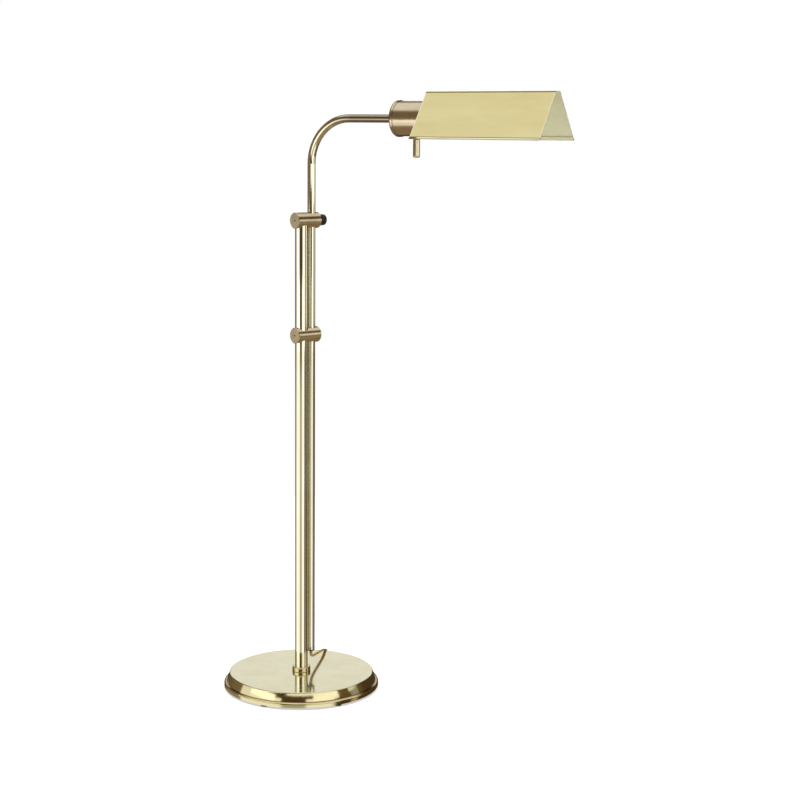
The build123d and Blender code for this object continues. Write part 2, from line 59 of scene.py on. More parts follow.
def middle(node):
    """The middle of a CAD piece's box."""
    low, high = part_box(node)
    return (Vector(low) + Vector(high)) / 2


# Read from the frame: a point on the arm's axis, in metres, and the way the clamps' bars point
arm_axis = Vector(joints["shade_tilt"]["pos_m"])
bar_way = Vector(joints["lock_turn"]["axis"])

# The arm's direction at rest, and the middle of the base, on the floor
ARM_WAY = Vector((1.0, 0.0, 0.0))
BASE_FOOT = Vector((0.0, 0.0, 0.0))

# The shade, in metres: how far each side falls and spreads, how far the middle of its sheet is
# from the arm's axis, square to a side, and how wide the bead on each lower edge is
SHADE_FALL = 0.0709
SHADE_SPREAD = 0.0479
SHEET_MIDDLE = 0.02716
HEM_WIDTH = 0.0032

# The cord's free stretch, as in the CAD, in metres
CORD_ROUTE = [
    (0.0052, 0.0193, 0.0565),
    (0.0052, 0.0193, 0.0450),
    (-0.0040, 0.0430, 0.0405),
    (-0.0310, 0.1145, 0.0305),
    (-0.0496, 0.1417, 0.0080),
    (-0.0781, 0.1472, 0.0026),
    (-0.1005, 0.1673, 0.0026),
]
# The hank and the tail lie along this heading
TRAIL_ANGLE = math.radians(126.0)
# How far to the right of the hank's middle the cord comes in, and the hank's length
HANK_SIDE = 0.0115
HANK_LENGTH = 0.129
# The tail, from the hank's end: along the heading, to its right, and up
TAIL_ROUTE = [
    (0.000, 0.0115, 0.0134),
    (0.012, 0.0115, 0.0134),
    (0.034, 0.0020, 0.0070),
    (0.046, 0.0020, 0.0070),
]
CORD_WIDTH = 0.005
CORD_THICK = 0.0025
# Where the cord leans over on its edge for the hank, from its start, and lies down again, from its end
LEAN_UP = (0.125, 0.185)
LEAN_BACK = (0.045, 0.008)
# The hank's tiers by height, then how far its outer and inner runs are from its middle, at full
# width and under the tie, and how far along it the tie is
TIER_HEIGHTS = (0.0037, 0.0089, 0.0141)
LOOP_SIDES = (0.0128, 0.0102)
TIED_SIDES = (0.0041, 0.0014)
TIED_PLACE = 0.0645
# How far the loops stray from one another, along the hank and across it
LOOP_DRIFT = 0.0006
SIDE_DRIFT = 0.0003


# ---------------------------------------------------------------- node helpers

class Shader:
    """A Principled material whose nodes are added one by one, in row-frame coordinates."""

    def __init__(self, name, color, metallic=0.0, roughness=0.5):
        self.material = bpy.data.materials.new(name)
        self.material.use_nodes = True
        self.tree = self.material.node_tree
        self.surface = self.tree.nodes["Principled BSDF"]
        self.surface.inputs["Base Color"].default_value = (*color, 1.0)
        self.surface.inputs["Metallic"].default_value = metallic
        self.surface.inputs["Roughness"].default_value = roughness
        self.place = self.tree.nodes.new("ShaderNodeTexCoord").outputs["Object"]

    def put(self, socket, value):
        if hasattr(value, "is_output"):
            self.tree.links.new(value, socket)
        else:
            socket.default_value = value

    def set(self, **values):
        for name, value in values.items():
            self.put(self.surface.inputs[name.replace("_", " ")], value)
        return self

    def math(self, operation, first, second=0.0, third=0.0):
        node = self.tree.nodes.new("ShaderNodeMath")
        node.operation = operation
        for socket, value in zip(node.inputs, (first, second, third)):
            self.put(socket, value)
        return node.outputs[0]

    def vector(self, operation, first, second=(0.0, 0.0, 0.0)):
        node = self.tree.nodes.new("ShaderNodeVectorMath")
        node.operation = operation
        self.put(node.inputs[0], first)
        self.put(node.inputs[1], second)
        return node.outputs["Value" if operation in ("DOT_PRODUCT", "LENGTH") else "Vector"]

    def noise(self, at, scale, detail=3.0, rough=0.5, dimensions="3D"):
        node = self.tree.nodes.new("ShaderNodeTexNoise")
        node.noise_dimensions = dimensions
        self.put(node.inputs["W" if dimensions == "1D" else "Vector"], at)
        node.inputs["Scale"].default_value = scale
        node.inputs["Detail"].default_value = detail
        node.inputs["Roughness"].default_value = rough
        return node.outputs["Fac"]

    def stretch(self, at, scale):
        return self.vector("MULTIPLY", at, scale)

    def split(self, value):
        node = self.tree.nodes.new("ShaderNodeSeparateXYZ")
        self.put(node.inputs[0], value)
        return node.outputs

    def remap(self, value, low, high, out_low, out_high):
        node = self.tree.nodes.new("ShaderNodeMapRange")
        for socket, number in zip(node.inputs, (value, low, high, out_low, out_high)):
            self.put(socket, number)
        return node.outputs[0]

    def blend(self, amount, first, second):
        node = self.tree.nodes.new("ShaderNodeMix")
        node.data_type = "RGBA"
        self.put(node.inputs["Factor"], amount)
        self.put(node.inputs["A"], (*first, 1.0) if isinstance(first, tuple) else first)
        self.put(node.inputs["B"], (*second, 1.0) if isinstance(second, tuple) else second)
        return node.outputs["Result"]

    def bump(self, height, strength, distance):
        node = self.tree.nodes.new("ShaderNodeBump")
        node.inputs["Strength"].default_value = strength
        node.inputs["Distance"].default_value = distance
        self.put(node.inputs["Height"], height)
        self.put(self.surface.inputs["Normal"], node.outputs["Normal"])
        return self

    def along(self, origin, axis):
        away = self.vector("SUBTRACT", self.place, tuple(origin))
        return self.vector("DOT_PRODUCT", away, tuple(axis))

    def turned(self, origin, axis):
        """Distance along an axis plus distance from it: the same all round a turned piece."""
        away = self.vector("SUBTRACT", self.place, tuple(origin))
        out = self.vector("LENGTH", self.vector("CROSS_PRODUCT", away, tuple(axis)))
        return self.math("ADD", self.along(origin, axis), out)


# ---------------------------------------------------------------- materials

TUBE_BRIGHT = (0.90, 0.87, 0.71)
TUBE_DEEP = (0.85, 0.78, 0.56)
PAINTED_REFLECTION_BROWN = (0.36, 0.285, 0.21)
BASE_BRIGHT = (0.71, 0.68, 0.47)
BASE_DEEP = (0.65, 0.60, 0.38)
COLLAR_BRIGHT = (0.72, 0.62, 0.38)
COLLAR_DEEP = (0.55, 0.44, 0.22)
SATIN_BRIGHT = (0.74, 0.66, 0.36)
SATIN_DEEP = (0.66, 0.57, 0.27)
BAR_BRIGHT = (0.69, 0.59, 0.40)
BAR_DEEP = (0.52, 0.42, 0.26)
EDGE_HIGHLIGHT = (0.96, 0.93, 0.72)
PAINTED_RIM_REFLECTION = (0.74, 0.66, 0.38)
PAINTED_CREASE_SHADE = (0.26, 0.13, 0.05)
PAINTED_DARK_LINE = (0.16, 0.13, 0.05)
HOUSING_BRIGHT = (0.67, 0.575, 0.42)
HOUSING_DEEP = (0.58, 0.46, 0.31)
ENAMEL_PALE = (0.66, 0.65, 0.43)
ENAMEL_DEEP = (0.58, 0.57, 0.36)

# Bands of tone on a turned piece: from and to along its axis in metres, how strong, and the tone.
# The base's are from the floor up: painted reflection, a deeper gold over the rim, and painted shade
# in its crease and along its bottom edge. The end cap's is from its outer face, a darker tone over
# that face and the edge of its rim
RIM_BANDS = (
    (-0.001, 0.0254, 0.8, PAINTED_RIM_REFLECTION),
    (0.0113, 0.0126, 0.75, PAINTED_CREASE_SHADE),
    (-0.001, 0.0026, 0.75, PAINTED_CREASE_SHADE),
)
CAP_BAND = (-0.001, 0.0022, 0.85, PAINTED_DARK_LINE)
# Painted reflection: the arm's brass is painted brown between these distances out from the column, in
# metres
ARM_PAINTED_REFLECTION = (0.030, 0.085)
# On the shade, in metres: where the painted highlight along the cut edge of each end fades, how far
# the painted dark reflection reaches down from the ridge, and how far the painted shadow reaches up from
# the beads
END_HIGHLIGHT = (0.0007, 0.0016)
RIDGE_REFLECTION = 0.0021
HEM_SHADOW = 0.0011


def polished_tube(name, along, painted_reflection=None):
    """Drawn and polished brass under lacquer, with faint lines along the tube.

    The last argument gives the distances along X between which the brass is painted brown, a painted
    reflection.
    """
    shader = Shader(name, TUBE_BRIGHT, metallic=1.0)
    lines = shader.noise(shader.stretch(shader.place, along), 1.0, 4.0, 0.6)
    cloud = shader.noise(shader.place, 22.0, 3.0)
    smudge = shader.noise(shader.place, 90.0, 5.0, 0.7)
    tone = shader.remap(cloud, 0.35, 0.7, 0.0, 0.6)
    color = shader.blend(tone, TUBE_BRIGHT, TUBE_DEEP)
    # Painted reflection: brown brass between the given distances along X
    if painted_reflection:
        reach = shader.split(shader.place)["X"]
        color = shader.blend(shader.remap(reach, *painted_reflection, 0.0, 1.0), color, PAINTED_REFLECTION_BROWN)
    shader.set(Base_Color=color)
    rough = shader.math("MULTIPLY_ADD", lines, 0.05, 0.03)
    shader.set(Roughness=shader.math("MULTIPLY_ADD", smudge, 0.04, rough))
    shader.set(Coat_Weight=0.2, Coat_Roughness=0.06)
    return shader.bump(lines, 0.015, 0.0002).material


def spun_brass(name, origin, axis, bright, deep, roughness, line_depth, bands=()):
    """Brass turned or spun on a lathe: fine rings round the axis, softer than the tubes.

    Each band lays a tone on part of the axis, as in RIM_BANDS.
    """
    shader = Shader(name, bright, metallic=1.0)
    ring = shader.turned(origin, axis)
    fine = shader.noise(ring, 2600.0, 2.0, 0.6, "1D")
    coarse = shader.noise(ring, 320.0, 3.0, 0.6, "1D")
    cloud = shader.noise(shader.place, 26.0, 4.0, 0.6)
    color = shader.blend(shader.remap(cloud, 0.35, 0.72, 0.0, 0.6), bright, deep)
    for low, high, amount, tint in bands:
        reach = shader.along(origin, axis)
        over = shader.math("GREATER_THAN", reach, low)
        under = shader.math("LESS_THAN", reach, high)
        inside = shader.math("MULTIPLY", shader.math("MULTIPLY", over, under), amount)
        color = shader.blend(inside, color, tint)
    shader.set(Base_Color=color)
    lines = shader.math("MULTIPLY_ADD", coarse, 0.6, fine)
    rough = shader.math("MULTIPLY_ADD", lines, 0.05, roughness)
    shader.set(Roughness=shader.math("MULTIPLY_ADD", cloud, 0.05, rough))
    shader.set(Coat_Weight=0.2, Coat_Roughness=0.1)
    return shader.bump(lines, line_depth, 0.0002).material


def shade_metal():
    """Satin brass outside, brushed along the ridge, with a painted highlight along the cut edge at each
    end, a thin painted reflection line at the ridge and a thin painted shadow line over the beads; pale
    enamel inside."""
    shader = Shader("shade_satin_brass", SATIN_BRIGHT, metallic=1.0)
    grain = shader.noise(shader.stretch(shader.place, (5.0, 900.0, 900.0)), 1.0, 5.0, 0.65)
    patch = shader.noise(shader.stretch(shader.place, (9.0, 40.0, 40.0)), 1.0, 3.0)
    brass = shader.blend(shader.remap(patch, 0.35, 0.7, 0.0, 0.7), SATIN_BRIGHT, SATIN_DEEP)
    split = shader.split(shader.vector("SUBTRACT", shader.place, tuple(arm_axis)))
    slant = math.hypot(SHADE_FALL, SHADE_SPREAD)
    side = shader.math("MULTIPLY", shader.math("ABSOLUTE", split["Y"]), SHADE_FALL / slant)
    depth = shader.math("MULTIPLY_ADD", split["Z"], SHADE_SPREAD / slant, side)
    inside = shader.math("LESS_THAN", depth, SHEET_MIDDLE)
    low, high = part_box("shade")
    from_end = shader.math("SUBTRACT", high[0] - arm_axis.x, split["X"])
    from_start = shader.math("SUBTRACT", split["X"], low[0] - arm_axis.x)
    nearest_end = shader.math("MINIMUM", from_end, from_start)
    # Painted highlight along the cut edge at each end
    brass = shader.blend(shader.remap(nearest_end, *END_HIGHLIGHT, 0.7, 0.0), brass, EDGE_HIGHLIGHT)
    # Painted reflection: a dark line along the ridge
    ridge_dark_reflection = shader.math("GREATER_THAN", split["Z"], high[2] - arm_axis.z - RIDGE_REFLECTION)
    # Painted shadow: a dark line just over each bead
    hem_top = low[2] - arm_axis.z + HEM_WIDTH * SHADE_FALL / slant
    over = shader.math("GREATER_THAN", split["Z"], hem_top)
    under = shader.math("LESS_THAN", split["Z"], hem_top + HEM_SHADOW)
    hem_painted_shadow = shader.math("MULTIPLY", over, under)
    brass = shader.blend(shader.math("MULTIPLY", ridge_dark_reflection, 0.9), brass, PAINTED_DARK_LINE)
    brass = shader.blend(shader.math("MULTIPLY", hem_painted_shadow, 0.85), brass, PAINTED_DARK_LINE)
    fleck = shader.noise(shader.place, 700.0, 3.0)
    enamel = shader.blend(shader.remap(fleck, 0.3, 0.7, 0.0, 0.3), ENAMEL_PALE, ENAMEL_DEEP)
    shader.set(Base_Color=shader.blend(inside, brass, enamel))
    shader.set(Metallic=shader.math("SUBTRACT", 1.0, inside))
    satin = shader.math("MULTIPLY_ADD", grain, 0.10, 0.16)
    shader.set(Roughness=shader.math("MULTIPLY_ADD", inside, 0.2, satin))
    return shader.bump(grain, 0.08, 0.0002).material


def moulded(name, color, roughness, grain_scale=900.0, depth=0.15):
    """Moulded plastic or rubber with a fine mould grain."""
    shader = Shader(name, color)
    grain = shader.noise(shader.place, grain_scale, 4.0, 0.6)
    cloud = shader.noise(shader.place, 60.0, 2.0)
    darker = tuple(0.75 * channel for channel in color)
    shader.set(Base_Color=shader.blend(shader.remap(cloud, 0.3, 0.7, 0.0, 1.0), color, darker))
    shader.set(Roughness=shader.math("MULTIPLY_ADD", grain, 0.16, roughness - 0.08))
    return shader.bump(grain, depth, 0.0003).material


def bare_metal(name, color, roughness):
    """Plated steel or nickel with small scratches."""
    shader = Shader(name, color, metallic=1.0)
    scratch = shader.noise(shader.stretch(shader.place, (700.0, 220.0, 700.0)), 1.0, 4.0, 0.7)
    cloud = shader.noise(shader.place, 120.0, 3.0)
    darker = tuple(0.7 * channel for channel in color)
    shader.set(Base_Color=shader.blend(shader.remap(cloud, 0.3, 0.7, 0.0, 0.7), color, darker))
    shader.set(Roughness=shader.math("MULTIPLY_ADD", scratch, 0.2, roughness - 0.1))
    return shader.bump(scratch, 0.08, 0.0002).material


def cast_metal():
    """Dark cast iron with the sand's roughness on it."""
    shader = Shader("cast_iron", (0.03, 0.03, 0.032), metallic=0.7, roughness=0.7)
    sand = shader.noise(shader.place, 420.0, 6.0, 0.7)
    shader.set(Roughness=shader.math("MULTIPLY_ADD", sand, 0.3, 0.5))
    return shader.bump(sand, 0.6, 0.0008).material


def frosted_glass():
    """A bulb's glass with white powder inside."""
    shader = Shader("frosted_bulb_glass", (0.86, 0.86, 0.83), roughness=0.45)
    powder = shader.noise(shader.place, 800.0, 4.0)
    shader.set(Roughness=shader.math("MULTIPLY_ADD", powder, 0.15, 0.38))
    shader.set(Transmission_Weight=0.35, Coat_Weight=0.6, Coat_Roughness=0.06)
    return shader.bump(powder, 0.05, 0.0002).material


def clear_gold(name):
    """Clear gold vinyl over copper strands: warm and glossy, its tone varying at random."""
    shader = Shader(name, (0.66, 0.44, 0.12), roughness=0.22)
    strand = shader.noise(shader.place, 1500.0, 3.0, 0.6)
    cloud = shader.noise(shader.place, 140.0, 3.0)
    tone = shader.remap(cloud, 0.3, 0.7, 0.0, 1.0)
    shader.set(Base_Color=shader.blend(tone, (0.90, 0.66, 0.24), (0.74, 0.50, 0.13)))
    shader.set(Roughness=shader.math("MULTIPLY_ADD", cloud, 0.12, 0.16))
    shader.set(Metallic=0.2, Coat_Weight=0.8, Coat_Roughness=0.07)
    return shader.bump(strand, 0.08, 0.0002).material


def plug_vinyl():
    """The plug's darker gold vinyl, with moulded grip ribs round its rear half."""
    shader = Shader("plug_vinyl", (0.40, 0.25, 0.06), roughness=0.3)
    heading = (math.cos(TRAIL_ANGLE), math.sin(TRAIL_ANGLE), 0.0)
    along = shader.along(middle("plug_body"), heading)
    rib_pitch = 0.0024
    wave = shader.math("SINE", shader.math("MULTIPLY", along, 2 * math.pi / rib_pitch))
    grip = shader.remap(along, 0.003, 0.005, 1.0, 0.0)
    ribs = shader.math("MULTIPLY", wave, grip)
    cloud = shader.noise(shader.place, 180.0, 3.0)
    tone = shader.remap(cloud, 0.3, 0.7, 0.0, 1.0)
    shader.set(Base_Color=shader.blend(tone, (0.46, 0.29, 0.07), (0.32, 0.19, 0.04)))
    shader.set(Roughness=shader.math("MULTIPLY_ADD", cloud, 0.15, 0.22))
    shader.set(Coat_Weight=0.4, Coat_Roughness=0.15)
    return shader.bump(ribs, 0.6, 0.0006).material


def paint(material, *names):
    """Give a material to whole CAD pieces."""
    for name in names:
        piece = nodes[name]
        piece.data.materials.clear()
        piece.data.materials.append(material)


def finish_nodes():
    """Every CAD piece's material."""
    paint(polished_tube("column_brass", (900.0, 900.0, 9.0)), "column_tube", "column_foot_plug")
    paint(polished_tube("stem_brass", (300.0, 900.0, 60.0), ARM_PAINTED_REFLECTION), "stem_tube")
    base = spun_brass("base_brass", BASE_FOOT, UP, BASE_BRIGHT, BASE_DEEP, 0.05, 0.02, RIM_BANDS)
    paint(base, "base_shell")
    collar = spun_brass("collar_brass", BASE_FOOT, UP, COLLAR_BRIGHT, COLLAR_DEEP, 0.08, 0.05)
    paint(collar, "column_collar")
    paint(bare_metal("screw_brass", BAR_BRIGHT, 0.3), "clamp_set_screws")
    for name in ("lower_clamp", "upper_clamp"):
        paint(spun_brass(name + "_brass", middle(name), bar_way, BAR_BRIGHT, BAR_DEEP, 0.13, 0.05), name)
    housing = ("housing_brass", arm_axis, ARM_WAY, HOUSING_BRIGHT, HOUSING_DEEP, 0.15, 0.08)
    paint(spun_brass(*housing), "socket_housing")
    cap_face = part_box("housing_end_cap")[0][0] - arm_axis.x
    low, high, amount, tint = CAP_BAND
    cap_bands = ((cap_face + low, cap_face + high, amount, tint),)
    paint(spun_brass("cap_brass", *housing[1:], cap_bands), "housing_end_cap")
    knob = spun_brass("switch_brass", middle("switch_knob"), UP, BAR_BRIGHT, BAR_DEEP, 0.10, 0.05)
    paint(knob, "switch_knob", "switch_nut")
    paint(shade_metal(), "shade")
    paint(bare_metal("saddle_brass", SATIN_DEEP, 0.35), "shade_saddle")
    black = moulded("black_phenolic", (0.016, 0.013, 0.012), 0.34)
    paint(black, "lock_knob", "switch_body", "cord_bushing", "cord_tie")
    paint(moulded("foot_rubber", (0.012, 0.012, 0.012), 0.7, 500.0, 0.4), "foot_pads")
    nylon = moulded("white_nylon", (0.74, 0.71, 0.62), 0.4)
    paint(nylon, "lower_clamp_bushing", "upper_clamp_bushing", "friction_washer")
    paint(moulded("glazed_porcelain", (0.80, 0.79, 0.75), 0.18, 300.0, 0.03), "lamp_socket")
    steel = bare_metal("zinc_steel", (0.55, 0.55, 0.54), 0.35)
    paint(steel, "base_bottom_plate", "plate_screws", "column_rod", "base_washer", "base_nut")
    paint(steel, "lock_screw", "arm_nipple", "arm_spring_washer", "arm_locknut")
    paint(steel, "socket_standoffs", "switch_shaft", "shade_screw")
    contact = bare_metal("contact_brass", (0.72, 0.56, 0.27), 0.3)
    paint(contact, "socket_screw_shell", "socket_contact", "plug_blades")
    paint(bare_metal("lamp_cap_metal", (0.66, 0.66, 0.65), 0.3), "bulb_cap")
    paint(frosted_glass(), "bulb_glass")
    paint(cast_metal(), "base_weight")
    paint(clear_gold("gold_vinyl"), "stem_lead", "cord_tube", "cord_hank", "cord_tail")
    paint(plug_vinyl(), "plug_body")


# ---------------------------------------------------------------- the cord

def trail_point(along, side, height):
    """A point in the trailing hank's own directions."""
    start = CORD_ROUTE[-1]
    right = side - HANK_SIDE
    return Vector((
        start[0] + along * math.cos(TRAIL_ANGLE) + right * math.sin(TRAIL_ANGLE),
        start[1] + along * math.sin(TRAIL_ANGLE) - right * math.cos(TRAIL_ANGLE),
        height,
    ))


def fold(reach, side, near, low, high):
    """Control points round one end of the hank, from the run on this side to the one across."""
    way = -1.0 if near else 1.0
    radius = abs(side)
    corner = radius * math.tan(math.radians(22.5))
    margin = 0.0015
    centre = radius + margin if near else HANK_LENGTH - radius - margin
    centre += reach
    steps = [(corner, side), (radius, corner * side / radius)]
    steps += [(along, -across) for along, across in reversed(steps)]
    return [
        trail_point(centre + way * along, across, low + (high - low) * step / 3)
        for step, (along, across) in enumerate(steps)
    ]


def run(side, tied, forward, height):
    """Control points along one run of the hank, drawn in under the tie."""
    places = [0.030, 0.050, TIED_PLACE, 0.079, 0.099]
    share = [0.72, 0.12, 0.0, 0.12, 0.72]
    points = [
        trail_point(place, tied + (side - tied) * part, height)
        for place, part in zip(places, share)
    ]
    return points if forward else points[::-1]


def hank_points():
    """Five turns and a last run: inwards on the first tier, outwards on the second, in again."""
    turns = [(0, 0), (0, 1), (1, 1), (1, 0), (2, 0), (2, 1)]
    points = []
    for count, (tier, loop) in enumerate(turns):
        height = TIER_HEIGHTS[tier]
        drift = LOOP_DRIFT * math.sin(2.4 * count)
        side = LOOP_SIDES[loop] + SIDE_DRIFT * math.cos(1.7 * count)
        tied = TIED_SIDES[loop]
        points += run(side, tied, True, height)
        if count == len(turns) - 1:
            break
        points += fold(drift - LOOP_DRIFT, side, False, height, height)
        points += run(-side, -tied, False, height)
        next_tier, next_loop = turns[count + 1]
        shift = LOOP_SIDES[next_loop] - LOOP_SIDES[loop]
        turn_back = fold(drift + LOOP_DRIFT, -side, True, height, TIER_HEIGHTS[next_tier])
        across = trail_point(0.0, HANK_SIDE + shift, 0.0) - trail_point(0.0, HANK_SIDE, 0.0)
        points += [point + across * step / 3 for step, point in enumerate(turn_back)]
    return points


def read_line(points):
    """Points along the NURBS spline that these control points give."""
    curve = bpy.data.curves.new("cord_line", "CURVE")
    curve.dimensions = "3D"
    curve.resolution_u = 6
    spline = curve.splines.new("NURBS")
    spline.points.add(len(points) - 1)
    for control, place in zip(spline.points, points):
        control.co = (*place, 1.0)
    spline.order_u = 3
    spline.use_endpoint_u = True
    holder = bpy.data.objects.new("cord_line", curve)
    line = bpy.data.meshes.new_from_object(holder)
    places = [vertex.co.copy() for vertex in line.vertices]
    bpy.data.meshes.remove(line)
    bpy.data.objects.remove(holder)
    return places


def smooth(low, high, value):
    """0 up to one value and 1 from another, with an easy passage between."""
    share = min(max((value - low) / (high - low), 0.0), 1.0)
    return share * share * (3 - 2 * share)


def twin_section():
    """The outline of two joined round cores, across the cord and through it."""
    core = CORD_THICK / 2
    turns = [math.radians(degrees) for degrees in range(-132, 133, 22)]
    lobe = [(core + core * math.cos(turn), core * math.sin(turn)) for turn in turns]
    return lobe + [(-across, -through) for across, through in lobe]


def lay_flat_cord(name, line, twists):
    """A flat twin lead swept along a line.

    Each twist leans it by so many degrees between two lengths along it.
    """
    section = twin_section()
    first_side = Vector((math.sin(TRAIL_ANGLE), -math.cos(TRAIL_ANGLE), 0.0))
    vertices = []
    run_length = 0.0
    for index, place in enumerate(line):
        behind = line[max(index - 1, 0)]
        ahead = line[min(index + 1, len(line) - 1)]
        run_length += (place - behind).length
        way = (ahead - behind).normalized()
        side = way.cross(UP)
        if side.length < 0.05:
            side = first_side
        side = (side - way * side.dot(way)).normalized()
        top = side.cross(way)
        lean = math.radians(sum(turn * smooth(low, high, run_length) for low, high, turn in twists))
        across = side * math.cos(lean) + top * math.sin(lean)
        through = top * math.cos(lean) - side * math.sin(lean)
        vertices += [place + across * u + through * v for u, v in section]
    count = len(section)
    faces = []
    for ring in range(len(line) - 1):
        for step in range(count):
            after = (step + 1) % count
            low = ring * count
            high = low + count
            faces.append((low + step, low + after, high + after, high + step))
    faces.append(tuple(range(count - 1, -1, -1)))
    faces.append(tuple(range(len(vertices) - count, len(vertices))))
    return mesh_piece(name, vertices, faces)


def length_of(line):
    return sum((after - before).length for before, after in zip(line, line[1:]))


def build_cord():
    """The cord with its tie, in the place of the CAD's plain solids."""
    free = [Vector(point) for point in CORD_ROUTE]
    tail = [trail_point(HANK_LENGTH + along, side, height) for along, side, height in TAIL_ROUTE]
    line = read_line(free + hank_points() + tail)
    total = length_of(line)
    twists = [(*LEAN_UP, 90.0), (total - LEAN_BACK[0], total - LEAN_BACK[1], -90.0)]
    cord = lay_flat_cord("cord", line, twists)
    cord.data.materials.append(clear_gold("cord_vinyl"))
    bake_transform(cord)
    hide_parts("cord_tube", "cord_hank", "cord_tail")
    build_tie()


def build_tie():
    """A strap pulled round the middle of the hank, with its buckle on top."""
    side_gap = 0.0008
    top_gap = 0.0002
    half_wide = TIED_SIDES[0] + CORD_THICK / 2 + side_gap
    low = TIER_HEIGHTS[0] - CORD_WIDTH / 2 - top_gap
    high = TIER_HEIGHTS[-1] + CORD_WIDTH / 2 + top_gap
    centre = (low + high) / 2
    half_tall = (high - low) / 2
    strap = rounded_band("cord_tie_strap", half_wide, half_tall, 0.0015, 0.0048, 0.0008, centre)
    buckle = rounded_block("cord_tie_buckle", (0.0, 0.0, high + 0.0012), (0.0036, 0.0042, 0.0011))
    tail = rounded_block("cord_tie_tongue", (0.0, 0.0078, high + 0.0010), (0.0022, 0.0050, 0.0005))
    black = moulded("tie_nylon", (0.02, 0.02, 0.02), 0.42)
    for piece in (strap, buckle, tail):
        piece.data.materials.append(black)
    for piece in (buckle, tail):
        piece.parent = strap
    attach(strap, "stand")
    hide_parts("cord_tie")
    return strap


def tie_point(along, side, height):
    """A point in the hank's own directions, from the middle of the tie."""
    return trail_point(TIED_PLACE + along, side, height)


def rounded_band(name, half_wide, half_tall, corner, width, wall, centre):
    """A strap of a rounded rectangle's outline, lying across the hank."""
    outline = []
    for quarter in range(4):
        for step in range(7):
            turn = math.radians(90 * quarter + 15 * step)
            sign_side = 1 if quarter in (0, 3) else -1
            sign_up = 1 if quarter in (0, 1) else -1
            side = sign_side * (half_wide - corner) + corner * math.cos(turn)
            up = sign_up * (half_tall - corner) + corner * math.sin(turn)
            outline.append((side, up, math.cos(turn), math.sin(turn)))
    edge = width / 2
    flat = edge - 0.0004
    profile = [(-edge, 0.0), (-edge, 0.7), (-flat, 1.0), (flat, 1.0), (edge, 0.7), (edge, 0.0)]
    vertices = []
    for side, up, way_side, way_up in outline:
        for along, share in profile:
            out = wall * share
            vertices.append(tie_point(along, side + way_side * out, centre + up + way_up * out))
    rows = len(outline)
    columns = len(profile)
    faces = []
    for row in range(rows):
        near = row * columns
        far = (row + 1) % rows * columns
        for column in range(columns):
            beside = (column + 1) % columns
            faces.append((near + column, near + beside, far + beside, far + column))
    return mesh_piece(name, vertices, faces)


def rounded_block(name, place, half):
    """A small moulded block with rounded edges, lying across the hank."""
    vertices = []
    rings = 6
    steps = 16
    squareness = 0.35
    for ring in range(rings + 1):
        lift = -math.pi / 2 + math.pi * ring / rings
        for step in range(steps):
            turn = 2 * math.pi * step / steps
            ball = (math.cos(lift) * math.cos(turn), math.cos(lift) * math.sin(turn), math.sin(lift))
            block = [math.copysign(abs(value) ** squareness, value) for value in ball]
            spot = [centre + reach * share for centre, reach, share in zip(place, half, block)]
            vertices.append(tie_point(*spot))
    faces = []
    for ring in range(rings):
        for step in range(steps):
            after = (step + 1) % steps
            low = ring * steps
            faces.append((low + step, low + after, low + steps + after, low + steps + step))
    return mesh_piece(name, vertices, faces)


def mesh_piece(name, vertices, faces):
    """A smooth-shaded mesh object in the scene."""
    mesh = bpy.data.meshes.new(name)
    mesh.from_pydata([tuple(vertex) for vertex in vertices], [], faces)
    mesh.polygons.foreach_set("use_smooth", [True] * len(mesh.polygons))
    mesh.update()
    piece = bpy.data.objects.new(name, mesh)
    bpy.context.scene.collection.objects.link(piece)
    return piece


# ---------------------------------------------------------------- stage, light and camera

WHITE = (1.15, 1.13, 1.08, 1.0)
PAPER = (1.0, 0.99, 0.96, 1.0)
DARK = (0.13, 0.085, 0.035, 1.0)
DIM = (0.20, 0.145, 0.085, 1.0)
DEEP = (0.075, 0.048, 0.02, 1.0)
MOSS = (0.30, 0.28, 0.17, 1.0)
AMBER = (0.50, 0.38, 0.22, 1.0)
GREY = (0.50, 0.48, 0.38, 1.0)
TAN = (0.30, 0.22, 0.14, 1.0)
ROOF = (1.0, 0.99, 0.95, 1.0)

# What the brass reflects by compass direction, in degrees from the arm's own direction: well
# under the horizon, level with it, and between the level ring's two parts the light behind the lamp
LOW_RING = [
    (-180, MOSS), (-159, MOSS), (-154, WHITE), (-86, WHITE), (-82, GREY), (-50, GREY), (-45, WHITE),
    (-8, WHITE), (0, DEEP), (24, DEEP), (27, AMBER), (36, AMBER), (40, DEEP), (146, DEEP), (160, MOSS),
    (180, MOSS),
]
LEVEL_RING = [
    (-180, DIM), (-100, DIM), (-92, DEEP), (0, DEEP), (10, DARK), (50, DARK), (60, DEEP), (146, DEEP),
    (180, DIM),
]
BACK_RING = [
    (-180, DIM), (-100, DIM), (-92, DEEP), (0, DEEP), (10, DARK), (50, DARK), (60, DEEP), (90, DEEP),
    (99, PAPER), (147, PAPER), (156, DIM), (180, DIM),
]
# The room over its tan lower part: each ring or colour takes over between two elevations, in degrees
ROOM = [
    (-42, -34, LOW_RING),
    (-9, -7, LEVEL_RING),
    (12, 14, BACK_RING),
    (23, 25, LEVEL_RING),
    (38, 46, ROOF),
]
